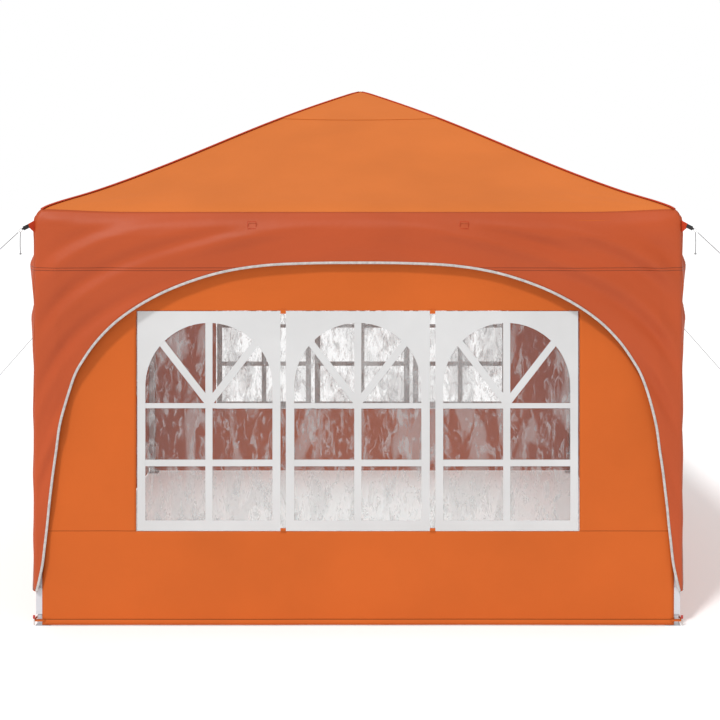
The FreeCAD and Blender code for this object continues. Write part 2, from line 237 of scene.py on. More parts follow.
def cloth_material(name, colour, crease=0.25, gloss=0.14, rough=0.70, shaded_seams=()):
    """Coated woven polyester: fine weave, soft creases, a dull sheen, and at the given heights a seam step in the bump
    with a dark line of painted shade along it.
    """
    material, shader, links, add = new_material(name)
    colour = Vector(colour)
    shade_between(add, links, shader, noise_at(add, 2.2, 4.0), colour * 0.94, colour * 1.04)
    shader.inputs["Roughness"].default_value = rough
    shader.inputs["Specular IOR Level"].default_value = gloss
    weave_x = add("ShaderNodeTexWave", {"Vector": add("ShaderNodeTexCoord").outputs["UV"], "Scale": 900.0},
                  bands_direction="X")
    weave_y = add("ShaderNodeTexWave", {"Vector": add("ShaderNodeTexCoord").outputs["UV"], "Scale": 900.0},
                  bands_direction="Y")
    weave = add("ShaderNodeMath", {0: weave_x.outputs["Fac"], 1: weave_y.outputs["Fac"]}, operation="ADD")
    creases = noise_at(add, 3.5, 5.0, 0.55)
    rough = add("ShaderNodeBump", {"Height": creases, "Strength": crease, "Distance": 0.02})
    fine = add("ShaderNodeBump", {"Height": weave.outputs[0], "Strength": 0.06, "Distance": 0.0004,
                                  "Normal": rough.outputs["Normal"]})
    normal = fine
    if shaded_seams:
        place = add("ShaderNodeSeparateXYZ", {"Vector": add("ShaderNodeTexCoord").outputs["Object"]})
        for centre in shaded_seams:
            # painted shade: a dark line along each seam, where its fold lies in shadow
            line = band(add, place.outputs["Z"], centre, 0.0016)
            tone = shader.inputs["Base Color"].links[0].from_socket
            mixed = add("ShaderNodeMix", {"Factor": line, "A": tone, "B": (*(colour * 0.55), 1)},
                        data_type="RGBA")
            links.new(mixed.outputs[2], shader.inputs["Base Color"])
            step = add("ShaderNodeMapRange", {"Value": place.outputs["Z"], "From Min": centre - 0.002,
                                              "From Max": centre + 0.002})
            normal = add("ShaderNodeBump", {"Height": step.outputs[0], "Strength": 0.7, "Distance": 0.002,
                                            "Normal": normal.outputs["Normal"]})
    links.new(normal.outputs["Normal"], shader.inputs["Normal"])
    return material


def webbing_material(name, colour, rough=0.7):
    """Woven tape or cord, ribbed across its length."""
    material, shader, links, add = new_material(name)
    colour = Vector(colour)
    shade_between(add, links, shader, noise_at(add, 60.0, 2.0), colour * 0.8, colour * 1.1)
    shader.inputs["Roughness"].default_value = rough
    shader.inputs["Sheen Weight"].default_value = 0.2
    ribs = add("ShaderNodeTexWave", {"Vector": add("ShaderNodeTexCoord").outputs["Object"], "Scale": 180.0},
               bands_direction="DIAGONAL")
    bump = add("ShaderNodeBump", {"Height": ribs.outputs["Fac"], "Strength": 0.5, "Distance": 0.0008})
    links.new(bump.outputs["Normal"], shader.inputs["Normal"])
    return material


def print_material():
    """White print on the film: smooth, faintly creased."""
    material, shader, links, add = new_material("white_print")
    shade_between(add, links, shader, noise_at(add, 3.0, 4.0), (0.60, 0.60, 0.60), (0.66, 0.66, 0.66))
    shader.inputs["Roughness"].default_value = 0.42
    bump = add("ShaderNodeBump", {"Height": noise_at(add, 6.0, 5.0, 0.6), "Strength": 0.12, "Distance": 0.01})
    links.new(bump.outputs["Normal"], shader.inputs["Normal"])
    return material


def film_material():
    """Clear flexible film, with pale patches and fine streaks where its creases catch the light."""
    material, shader, links, add = new_material("clear_film")
    shader.inputs["Base Color"].default_value = (0.52, 0.52, 0.52, 1)
    shader.inputs["Roughness"].default_value = 0.22
    shader.inputs["Specular IOR Level"].default_value = 0.4
    vector = add("ShaderNodeTexCoord").outputs["Object"]
    leaning = add("ShaderNodeMapping", {"Vector": vector, "Rotation": (0, math.radians(-35), 0),
                                        "Scale": (2.8, 1.0, 1.0)}).outputs["Vector"]
    streaks = add("ShaderNodeTexNoise", {"Vector": leaning, "Scale": 9.5, "Detail": 9.0, "Roughness": 0.72,
                                         "Distortion": 0.9})
    patches = add("ShaderNodeTexNoise", {"Vector": leaning, "Scale": 2.6, "Detail": 7.0, "Distortion": 0.8})
    fine = add("ShaderNodeMapRange", {"Value": streaks.outputs["Fac"], "From Min": 0.51, "From Max": 0.60,
                                      "To Min": 0.04, "To Max": 0.30})
    broad = add("ShaderNodeMapRange", {"Value": patches.outputs["Fac"], "From Min": 0.50, "From Max": 0.57,
                                       "To Min": 0.03, "To Max": 0.20})
    cover = add("ShaderNodeMath", {0: fine.outputs[0], 1: broad.outputs[0]}, operation="ADD")
    links.new(cover.outputs[0], shader.inputs["Alpha"])
    bump = add("ShaderNodeBump", {"Height": streaks.outputs["Fac"], "Strength": 0.25, "Distance": 0.008})
    links.new(bump.outputs["Normal"], shader.inputs["Normal"])
    return material


def paint_material(name, colour, rough=0.38, metallic=0.0):
    """Powder coat: a fine orange-peel skin with slight dulling."""
    material, shader, links, add = new_material(name)
    colour = Vector(colour)
    shade_between(add, links, shader, noise_at(add, 9.0, 4.0), colour * 0.93, colour)
    shader.inputs["Metallic"].default_value = metallic
    shader.inputs["Specular IOR Level"].default_value = 0.5
    dull = add("ShaderNodeMapRange", {"Value": noise_at(add, 25.0, 3.0), "To Min": rough - 0.06,
                                      "To Max": rough + 0.1})
    links.new(dull.outputs[0], shader.inputs["Roughness"])
    bump = add("ShaderNodeBump", {"Height": noise_at(add, 420.0, 2.0), "Strength": 0.12, "Distance": 0.0006})
    links.new(bump.outputs["Normal"], shader.inputs["Normal"])
    return material


def materials():
    """Every material, by name, made on first use."""
    made = bpy.data.materials
    if "roof_cloth_orange" not in made:
        settings = bpy.context.scene.shelter_colours
        cloth_material("roof_cloth_orange", settings.roof, 0.22)
        # painted shade: the skirt cloth is the roof's cloth in a darker colour
        cloth_material("skirt_cloth_orange", settings.skirt, 0.30, 0.28, 0.52, shaded_seams=(1.6595, 1.6475))
        # painted backlight: the wall cloth is lighter than the skirt's for light through the cloth
        cloth_material("wall_cloth_orange", settings.wall, 0.20, 0.16, 0.60, shaded_seams=(0.031, 0.440))
        cloth_material("hip_binding_red", settings.binding, 0.1)
        webbing_material("arch_piping_grey", settings.piping, 0.5)
        webbing_material("rope_grey", (0.30, 0.30, 0.31))
        webbing_material("tie_pale", (0.62, 0.58, 0.55))
        webbing_material("webbing_black", (0.015, 0.015, 0.017))
        print_material()
        film_material()
        paint_material("leg_coat", (0.62, 0.63, 0.66))
        paint_material("bar_coat", (0.58, 0.59, 0.61))
        paint_material("moulded_black", (0.020, 0.020, 0.022), 0.5)
        paint_material("moulded_red", (0.45, 0.03, 0.02), 0.3)
        paint_material("ring_white", (0.75, 0.75, 0.75), 0.25)
    return made


# Shapes of the cloth

def shoulder(x, y):
    """How far the legs' tops push the cloth up near a corner."""
    return 0.014 * bell(math.hypot(abs(x) - HALF, abs(y) - HALF), 0.22)


def eave_round(x):
    """The radius that the cloth takes over the eave, x along a side: tight at the corners, soft between them."""
    return 0.048 + 0.037 * min(1.0, max(0.0, HALF - abs(x)) / 0.3)


def roof_point(s, share, seed):
    """A point of the front roof: s runs from -1 to 1 between its hips, share from 0 at the eave to 1 at the peak."""
    half = HALF * (1 - share) - eave_round(s * HALF) / 2 * max(0.0, 1 - share / 0.10) ** 2
    pull = 0.0060 * bell((1 - abs(s)) * half, 0.02) * bell(share * HALF, 0.02)
    x, y = s * (half - pull), -half + pull
    z = EAVE_Z + (PEAK_Z - EAVE_Z) * (share - 0.019 * math.sin(2 * math.pi * share))
    z -= 0.010 * (1 - s * s) * math.sin(math.pi * share)
    z += shoulder(x, y) - 0.004 * bell(1 - share, 0.022)
    fade = min(1.0, 10 * share) * min(1.0, 8 * (1 - share)) * (1 - abs(s) ** 8)
    angle = math.atan2(y + HALF, HALF - abs(x))
    away = math.hypot(HALF - abs(x), y + HALF)
    z += 0.004 * fade * ripple(x * 1.3, y * 1.3, seed)
    z += 0.005 * fade * ripple(angle * 9, away * 1.1, seed + 3) * bell(away, 0.9)
    return Vector((x, y, z))


def arch_point(t):
    """A point of the arch, as (x, z), for t from 0 at its left foot to 1 at its right foot."""
    route = [Vector(p) for p in ARCH]
    spans = [(b - a).length for a, b in zip(route, route[1:])]
    along = (1 - abs(2 * t - 1)) * sum(spans)
    i = 0
    while i < len(spans) - 1 and along > spans[i]:
        along -= spans[i]
        i += 1
    share = along / spans[i]
    before = route[i - 1] if i else 2 * route[0] - route[1]
    after = route[i + 2] if i + 2 < len(route) else Vector((-route[i].x, route[i].y))
    start, end = (route[i + 1] - before) / 2, (after - route[i]) / 2
    bend, rest = share * share, share ** 3
    point = (route[i] * (2 * rest - 3 * bend + 1) + start * (rest - 2 * bend + share)
             + route[i + 1] * (3 * bend - 2 * rest) + end * (rest - bend))
    return Vector((-point.x if t < 0.5 else point.x, point.y))


def outline_point(t):
    """A point of the skirt's outer edge, as (x, z), with its corners where the arch leans 45 degrees."""
    flat = HALF - CORNER_ROUND + CORNER_ROUND * math.pi / 4
    if t <= 0.3:
        share = t / 0.3
        return Vector((-flat, ARCH_FOOT + (EAVE_Z - ARCH_FOOT) * share))
    if t >= 0.7:
        share = (1 - t) / 0.3
        return Vector((flat, ARCH_FOOT + (EAVE_Z - ARCH_FOOT) * share))
    return Vector((-flat + 2 * flat * (t - 0.3) / 0.4, EAVE_Z))


def around_corner(x, z, out):
    """A point of the front skirt's face from its flat place, bent round the corner and over the eave."""
    straight = HALF - CORNER_ROUND
    side, past = math.copysign(1, x), abs(x) - straight
    radius = CORNER_ROUND + out
    if past <= 0:
        px, py = x, -HALF - out
    else:
        angle = past / CORNER_ROUND
        px = side * (straight + radius * math.sin(angle))
        py = -straight - radius * math.cos(angle)
    bend = eave_round(px)
    lip = max(0.0, z - (EAVE_Z - bend))
    scale = 1 - lip * lip / (2 * bend * HALF)
    lift = min(1.0, max(0.0, 1 - (EAVE_Z - z) / 0.25))
    return Vector((px * scale, py * scale, z + shoulder(px, py) * lift * lift))


def skirt_folds(x, z, away, seed):
    """How far the skirt stands out of its plane, away from the arch: drag folds from the legs, and the arch's flare."""
    column, drop = HALF - abs(x), EAVE_Z - z
    edge = min(1.0, column * 9) * min(1.0, max(0.0, drop - 0.02) * 11) * (0.3 + 0.7 * min(1.0, away / 0.2))
    climb = drop + 0.45 * column + 1.9 * drop * 0.45 * math.tanh(column / 0.45)
    wander = 1.8 * ripple(x * 1.5, z * 1.2, seed)
    fold = math.sin(2 * math.pi * climb / 0.29 + wander) + 0.35 * math.sin(2 * math.pi * climb / 0.155 - wander)
    strength = 0.024 * max(0.15, 1 - column * 0.62) * (0.75 + 0.5 * ripple(x * 2.0, z * 2.0, seed + 5))
    flare = 0.006 + 0.013 * bell(abs(x) - 1.05, 0.40)
    flare *= math.exp(-away / 0.15) * min(1.0, column * 4.5) * min(1.0, drop * 8)
    return 0.0035 + edge * max(-0.003, 0.016 + strength * fold) + flare


def skirt_point(u, v, seed):
    """A point of the front skirt: u along the arch, v from the arch out to its outer edge."""
    inner, outer = arch_point(u), outline_point(u)
    flat = inner.lerp(outer, v)
    return around_corner(flat.x, flat.y, skirt_folds(flat.x, flat.y, (flat - inner).length, seed))


def wall_dent(x, z, seed, flat_window):
    """How far the front wall's cloth lies inside its plane."""
    dent = 0.5 + 0.5 * ripple(x * 1.1, z * 1.6, seed)
    crease = ripple((x + z) * 2.6, (z - x) * 0.7, seed + 9)
    calm = 1.0
    if flat_window and abs(x) < 1.10 and 0.38 < z < 1.52:
        calm = 0.15
    return calm * (0.003 * dent + 0.002 * crease)


def wall_point(x, z, seed, windowed):
    return Vector((x, WALL_Y + 0.001 + wall_dent(x, z, seed, windowed), z))


# Operators

class ShelterColours(bpy.types.PropertyGroup):
    """Colours of the cloth, as linear light. Roof, skirt and wall are one cloth with its light painted in: the skirt's
    darker colour is painted shade, and the wall's colour, lighter than the skirt's, is painted backlight through the
    cloth.
    """
    roof: bpy.props.FloatVectorProperty(name="Roof", description="Cloth of the roof", subtype="COLOR", size=3,
                                        default=(0.640, 0.170, 0.036), min=0, max=1)
    # painted shade: the skirt is the roof's cloth, darkened for the shade it hangs in and the light its double layer
    # keeps out
    skirt: bpy.props.FloatVectorProperty(name="Skirt", description="Cloth of the arched skirts", subtype="COLOR",
                                         size=3, default=(0.470, 0.076, 0.018), min=0, max=1)
    # painted backlight: the wall is lighter than the skirt for light shining through the cloth from behind
    wall: bpy.props.FloatVectorProperty(name="Wall", description="Cloth of the side walls", subtype="COLOR",
                                        size=3, default=(0.585, 0.118, 0.018), min=0, max=1)
    binding: bpy.props.FloatVectorProperty(name="Binding", description="Binding of the hips and corner tabs",
                                           subtype="COLOR", size=3, default=(0.50, 0.048, 0.014), min=0, max=1)
    piping: bpy.props.FloatVectorProperty(name="Piping", description="Piping of the arches", subtype="COLOR",
                                          size=3, default=(0.56, 0.54, 0.52), min=0, max=1)


class ShelterSizes(bpy.types.PropertyGroup):
    """Sizes of the trim."""
    piping_width: bpy.props.FloatProperty(name="Piping width", description="Width of the arch piping",
                                          default=0.012, min=0.004, max=0.03, unit="LENGTH")
    binding_width: bpy.props.FloatProperty(name="Binding width", description="Width of the binding on the hips",
                                           default=0.022, min=0.004, max=0.03, unit="LENGTH")
    patch_half: bpy.props.FloatProperty(name="Peak patch", description="Half the width of the patch at the peak",
                                        default=0.436, min=0.1, max=1.0, unit="LENGTH")
    cloth: bpy.props.FloatProperty(name="Cloth", description="Thickness of the cloth", default=0.0006,
                                   min=0.0002, max=0.002, unit="LENGTH")
    rope: bpy.props.FloatProperty(name="Rope", description="Diameter of the guy ropes", default=0.004,
                                  min=0.002, max=0.01, unit="LENGTH")


class SHELTER_OT_roof(bpy.types.Operator):
    """Sew the four roof quarters, their peak patches and the bindings on the hips"""
    bl_idname = "shelter.roof"
    bl_label = "Roof"

    def execute(self, context):
        sizes = context.scene.shelter_sizes
        made = materials()
        for k, side in enumerate(SIDES):
            body = f"roof_{side}"
            bm = turned(grid(120, 96, lambda u, v: roof_point(2 * u - 1, v * (0.3 + 0.7 * v), k)), k)
            bmesh.ops.remove_doubles(bm, verts=bm.verts, dist=1e-6)
            cloth = thicken(show(f"roof_cloth_{side}", bm, made["roof_cloth_orange"]), sizes.cloth)
            patch = self.patch(k, side, sizes)
            binding = self.binding(k, sizes)
            for piece in (cloth, patch, binding):
                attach(piece, body)
                fold_with_frame(piece)
            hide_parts(f"roof_panel_{side}")
        return {"FINISHED"}

    def patch(self, k, side, sizes):
        """The double layer round the peak, with its hem standing proud."""
        start = 1 - sizes.patch_half / HALF

        def place(u, v):
            point = roof_point(2 * u - 1, start + (1 - start) * v, k)
            return point + Vector((0, -0.0008, 0.0022))
        bm = turned(grid(60, 30, place), k)
        bmesh.ops.remove_doubles(bm, verts=bm.verts, dist=1e-6)
        return thicken(show(f"peak_patch_{side}", bm, materials()["roof_cloth_orange"]), 0.0014)

    def binding(self, k, sizes):
        """The binding on the left hip of side k."""
        def line(u):
            point = roof_point(-1, u * 0.992, k)
            return point + Vector((0, 0, 0.0022))
        bm = tube(90, 10, line, lambda u: Vector((0.707, -0.707, 0)), lambda u: Vector((0, 0, 1)),
                  sizes.binding_width, 0.007)
        return show(f"hip_binding_{CORNERS[k]}", turned(bm, k), materials()["hip_binding_red"])


class SHELTER_OT_skirts(bpy.types.Operator):
    """Hang the four arched skirts with their piping and box stitches"""
    bl_idname = "shelter.skirts"
    bl_label = "Arched Skirts"

    def execute(self, context):
        sizes = context.scene.shelter_sizes
        made = materials()
        for k, side in enumerate(SIDES):
            body = f"leg_{CORNERS[k]}"
            bm = turned(grid(240, 36, lambda u, v: skirt_point(u, v, k + 11)), k)
            cloth = thicken(show(f"skirt_cloth_{side}", bm, made["skirt_cloth_orange"]), sizes.cloth)
            piping = self.piping(k, side, sizes)
            marks = self.box_stitches(k, side)
            for piece, slot in ((cloth, "skirt_cloth"), (piping, "skirt_cloth"), (marks, "skirt_cloth")):
                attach(piece, body)
                fold_with_frame(piece)
            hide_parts("canopy_skirt")
        return {"FINISHED"}

    def piping(self, k, side, sizes):
        """The piping round one arch."""
        def line(u):
            point = arch_point(u)
            return around_corner(point.x, point.y, 0.0015 + skirt_folds(point.x, point.y, 0.0, k + 11))

        def across(u):
            ahead, behind = line(min(1, u + 1e-3)), line(max(0, u - 1e-3))
            return (ahead - behind).cross(up(u)).normalized()

        def up(u):
            point = line(u)
            past = max(0.0, abs(point.x) - (HALF - CORNER_ROUND)) / CORNER_ROUND
            angle = math.asin(min(1.0, past))
            return Vector((math.copysign(math.sin(angle), point.x), -math.cos(angle), 0))
        bm = tube(420, 12, line, across, up, sizes.piping_width, 0.005)
        return show(f"arch_piping_{side}", turned(bm, k), materials()["arch_piping_grey"])

    def box_stitches(self, k, side):
        """The two sewn squares below the eave."""
        bm = bmesh.new()
        for x in (-0.49, 0.49):
            for dx, dz, w, h in ((0, 0.016, 0.040, 0.0018), (0, -0.016, 0.040, 0.0018),
                                 (-0.019, 0, 0.0018, 0.034), (0.019, 0, 0.0018, 0.034)):
                y = -HALF - skirt_folds(x + dx, 1.856 + dz, 0.19, k + 11) - 0.0012
                block(bm, (x + dx - w / 2, y, 1.856 + dz - h / 2), (x + dx + w / 2, y + 0.002, 1.856 + dz + h / 2),
                      0.0004, 1)
        return show(f"box_stitches_{side}", turned(bm, k), materials()["hip_binding_red"])


class SHELTER_OT_walls(bpy.types.Operator):
    """Hang the four walls inside the skirts, two of them with a window opening"""
    bl_idname = "shelter.walls"
    bl_label = "Walls"

    def execute(self, context):
        sizes = context.scene.shelter_sizes
        for k, side in enumerate(SIDES):
            windowed = k % 2 == 0
            body = f"leg_{CORNERS[k]}"
            wall = self.wall(k, side, windowed, sizes)
            hem = self.hem(k, side, windowed)
            pieces = [hem] + ([self.tabs(k, side)] if windowed else [])
            for piece in [wall] + pieces:
                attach(piece, body)
                fold_with_frame(piece)
            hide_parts(f"wall_{side}")
        return {"FINISHED"}

    def wall(self, k, side, windowed, sizes):
        """One wall's cloth. A window's opening is cut along its edges."""
        bm = grid(146, 94, lambda u, v: Vector((WALL_HALF * (2 * u - 1), 0, 0.005 + 1.873 * v)))
        if windowed:
            x0, x1, z0, z1 = WINDOW
            for co, no in (((x0, 0, 0), (1, 0, 0)), ((x1, 0, 0), (1, 0, 0)), ((0, 0, z0), (0, 0, 1)),
                           ((0, 0, z1), (0, 0, 1))):
                bmesh.ops.bisect_plane(bm, geom=bm.verts[:] + bm.edges[:] + bm.faces[:], dist=1e-5,
                                       plane_co=co, plane_no=no)
            inside = [f for f in bm.faces if x0 < f.calc_center_median().x < x1
                      and z0 < f.calc_center_median().z < z1]
            bmesh.ops.delete(bm, geom=inside, context="FACES")
        for vert in bm.verts:
            vert.co = wall_point(vert.co.x, vert.co.z, k + 21, windowed)
        return thicken(show(f"wall_cloth_{side}", turned(bm, k), materials()["wall_cloth_orange"]), sizes.cloth)

    def hem(self, k, side, windowed):
        """The folded hem along the wall's foot."""
        def place(u, v):
            point = wall_point((WALL_HALF - 0.002) * (2 * u - 1), 0.006 + 0.025 * v, k + 21, windowed)
            return point + Vector((0, -0.0014, 0))
        return thicken(show(f"wall_hem_{side}", turned(grid(146, 2, place), k), materials()["wall_cloth_orange"]),
                       0.0012)

    def tabs(self, k, side):
        """The cloth tabs that reach into the gaps between the window's printed frames."""
        bm = bmesh.new()
        z0, z1 = WINDOW[2:]
        gaps = (-0.3465, 0.345)
        half, past, lap = 0.0125, 0.006, 0.014
        for x in gaps:
            for low, high in ((z0 - past, z0 + lap), (z1 - lap, z1 + past)):
                block(bm, (x - half, WALL_Y - 0.0015, low), (x + half, WALL_Y + 0.0005, high), 0.0004, 1)
        return show(f"window_tabs_{side}", turned(bm, k), materials()["wall_cloth_orange"])


class SHELTER_OT_windows(bpy.types.Operator):
    """Fill the two window openings with clear film and its white printed frames"""
    bl_idname = "shelter.windows"
    bl_label = "Windows"

    PANES = ((-1.021, -0.359), (-0.334, 0.332), (0.358, 1.018))

    def execute(self, context):
        made = materials()
        for k, side in ((0, "front"), (2, "back")):
            film = self.film(k, side)
            bm = bmesh.new()
            for x0, x1 in self.PANES:
                self.frame(bm, x0, x1)
            bmesh.ops.remove_doubles(bm, verts=bm.verts, dist=1e-6)
            frames = thicken(show(f"window_frames_{side}", turned(bm, k), made["white_print"]), 0.0005)
            for piece in (film, frames):
                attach(piece, f"leg_{CORNERS[k]}")
                fold_with_frame(piece)
                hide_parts("window_sheets")
        return {"FINISHED"}

    def film(self, k, side):
        """The clear sheet, with shallow creases."""
        x0, x1, z0, z1 = WINDOW

        def place(u, v):
            x, z = x0 + (x1 - x0) * u, z0 + (z1 - z0) * v
            edge = min(1.0, 8 * min(u, 1 - u, v, 1 - v))
            dent = 0.0012 * edge * ripple(x * 6 + z * 4, z * 9 - x * 2, 31 + k)
            return Vector((x, WALL_Y + 0.0032 + dent, z))
        return thicken(show(f"window_film_{side}", turned(grid(120, 60, place), k), materials()["clear_film"]),
                       0.0003)

    def frame(self, bm, x0, x1):
        """One printed frame: a plate round the glazed shape, and its bars."""
        z0, z1 = WINDOW[2] + 0.002, WINDOW[3] - 0.002
        middle, radius, spring, sill = (x0 + x1) / 2, 0.294, 1.109, 0.4895
        outer = self.loop(bm, self.outer_edge(x0, x1, z0, z1, middle, spring))
        inner = self.loop(bm, self.pane_edge(middle, radius, spring, sill))
        bmesh.ops.bridge_loops(bm, edges=outer + inner)
        slant = Vector((0.600, 0, 0.800)) * 0.372
        bars = [(Vector((middle, 0, 1.030)), Vector((middle + lean * slant.x, 0, 1.020 + slant.z)), 0.033)
                for lean in (-1, 1)]
        bars += [(Vector((middle, 0, sill - 0.002)), Vector((middle, 0, spring + radius + 0.002)), 0.033),
                 (Vector((middle - 0.296, 0, 1.020)), Vector((middle + 0.296, 0, 1.020)), 0.024),
                 (Vector((middle - 0.296, 0, 0.755)), Vector((middle + 0.296, 0, 0.755)), 0.031)]
        for step, (start, end, width) in enumerate(bars):
            ahead = Vector((0, WALL_Y - 0.0001 + 0.0001 * step, 0))
            self.strip(bm, start + ahead, end + ahead, width)

    def strip(self, bm, start, end, width):
        """A flat bar of the print."""
        along = (end - start).normalized()
        side = along.cross(Vector((0, 1, 0))) * width / 2
        corners = [bm.verts.new(p) for p in (start + side, end + side, end - side, start - side)]
        face = bm.faces.new(corners)
        bmesh.ops.recalc_face_normals(bm, faces=[face])
        if face.normal.y > 0:
            bmesh.ops.reverse_faces(bm, faces=[face])

    def loop(self, bm, points):
        """A closed loop of edges through points."""
        verts = [bm.verts.new(p) for p in points]
        return [bm.edges.new(pair) for pair in zip(verts, verts[1:] + verts[:1])]

    def pane_edge(self, middle, radius, spring, sill):
        """The glazed shape: square at the sill and round at the head."""
        y = WALL_Y - 0.0006
        arc = [Vector((middle + radius * math.cos(a), y, spring + radius * math.sin(a)))
               for a in (math.pi * i / 40 for i in range(41))]
        return arc + [Vector((middle - radius, y, sill)), Vector((middle + radius, y, sill))]

    def outer_edge(self, x0, x1, z0, z1, middle, spring):
        """The plate's outline, with as many points as the glazed shape has."""
        y = WALL_Y - 0.0006
        points = []
        wide, high = x1 - middle, z1 - spring
        for i in range(41):
            t = i / 40 * (2 * wide + 2 * high)
            if t < high:
                points.append(Vector((x1, y, spring + t)))
            elif t < high + 2 * wide:
                points.append(Vector((x1 - (t - high), y, z1)))
            else:
                points.append(Vector((x0, y, spring + 2 * (high + wide) - t)))
        for place in (Vector((x1, y, z1)), Vector((x0, y, z1))):
            nearest = min(range(41), key=lambda i: (points[i] - place).length)
            points[nearest] = place
        return points + [Vector((x0, y, z0)), Vector((x1, y, z0))]


class SHELTER_OT_corners(bpy.types.Operator):
    """Sew the guy tabs with their webbing and rings, and tie the walls to the legs"""
    bl_idname = "shelter.corners"
    bl_label = "Corner Tabs and Ties"

    def execute(self, context):
        made = materials()
        for k, corner in enumerate(CORNERS):
            for name, bm, material in ((f"guy_tab_{corner}", self.tab(), "hip_binding_red"),
                                       (f"guy_webbing_{corner}", self.webbing(), "webbing_black"),
                                       (f"guy_ring_{corner}", self.ring(), "ring_white")):
                bmesh.ops.rotate(bm, cent=(0, 0, 0), matrix=Matrix.Rotation(math.radians(45), 3, "Z"), verts=bm.verts)
                bmesh.ops.translate(bm, vec=(-HALF, -HALF, RING_Z), verts=bm.verts)
                piece = show(name, turned(bm, k), made[material])
                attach(piece, f"leg_{corner}")
                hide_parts("canopy_skirt")
            self.ties(k, corner, "near", False)
            self.ties(k, corner, "far", True)
        return {"FINISHED"}

    def tab(self):
        """The cloth triangle at a corner, made along -X from the corner."""
        def place(u, v):
            near = Vector((0.012, 0, -0.018 + 0.065 * u))
            far = Vector((-0.022 - 0.007 * u, 0, 0.010 + 0.018 * u))
            bulge = 0.0015 * math.sin(math.pi * u)
            return near.lerp(far, v) + Vector((0, -0.0012 - bulge, 0))
        bm = grid(12, 10, place)
        bmesh.ops.recalc_face_normals(bm, faces=bm.faces)
        bmesh.ops.solidify(bm, geom=bm.faces[:], thickness=0.0024)
        return bm

    def webbing(self):
        """The folded webbing that holds the ring."""
        bm = bmesh.new()
        block(bm, (-0.027, -0.0017, -0.0095), (0.005, 0.0017, 0.0095), 0.0006)
        block(bm, (-0.034, -0.0028, -0.0045), (-0.022, 0.0028, 0.0045), 0.0012)
        bmesh.ops.rotate(bm, cent=(0, 0, 0), matrix=Matrix.Rotation(-math.radians(22), 3, "Y"), verts=bm.verts)
        bmesh.ops.translate(bm, vec=(-0.0265, 0, 0.0180), verts=bm.verts)
        return bm

    def ring(self):
        """The round ring that takes the rope."""
        bm = bmesh.new()
        bmesh.ops.create_circle(bm, cap_ends=False, radius=0.0016, segments=14,
                                matrix=Matrix.Translation((0.0080, 0, 0)))
        bmesh.ops.spin(bm, geom=bm.verts[:] + bm.edges[:], cent=(0, 0, 0), axis=(0, 1, 0), angle=2 * math.pi,
                       steps=40, use_merge=True, dvec=(0, 0, 0))
        bmesh.ops.remove_doubles(bm, verts=bm.verts, dist=1e-6)
        bmesh.ops.recalc_face_normals(bm, faces=bm.faces)
        bmesh.ops.translate(bm, vec=(-RING_OUT, 0, 0), verts=bm.verts)
        return bm

    def ties(self, k, corner, end, swapped):
        """A tie, toggle and tail that hold a wall's lower edge to a leg, on its own side or the next one."""
        for name, bm, material in self.tie_parts():
            if swapped:
                for vert in bm.verts:
                    vert.co = vert.co.yxz
                bmesh.ops.reverse_faces(bm, faces=bm.faces[:])
            piece = show(f"{name}_{corner}_{end}", turned(bm, k), materials()[material])
            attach(piece, f"leg_{corner}")

    def tie_parts(self):
        """The parts of a tie at the front-left leg, on the front wall's side."""
        strap = bmesh.new()
        block(strap, (-1.4945, -1.4975, 0.023), (-1.449, -1.4955, 0.034), 0.0005, 1)
        toggle = bmesh.new()
        block(toggle, (-1.5005, -1.5035, 0.036), (-1.4915, -1.4965, 0.052), 0.0024, 3)
        tail = bmesh.new()
        block(tail, (-1.4975, -1.5005, 0.006), (-1.4945, -1.4975, 0.037), 0.0012, 2)
        return (("wall_tie", strap, "wall_cloth_orange"), ("tie_toggle", toggle, "moulded_red"),
                ("tie_tail", tail, "tie_pale"))


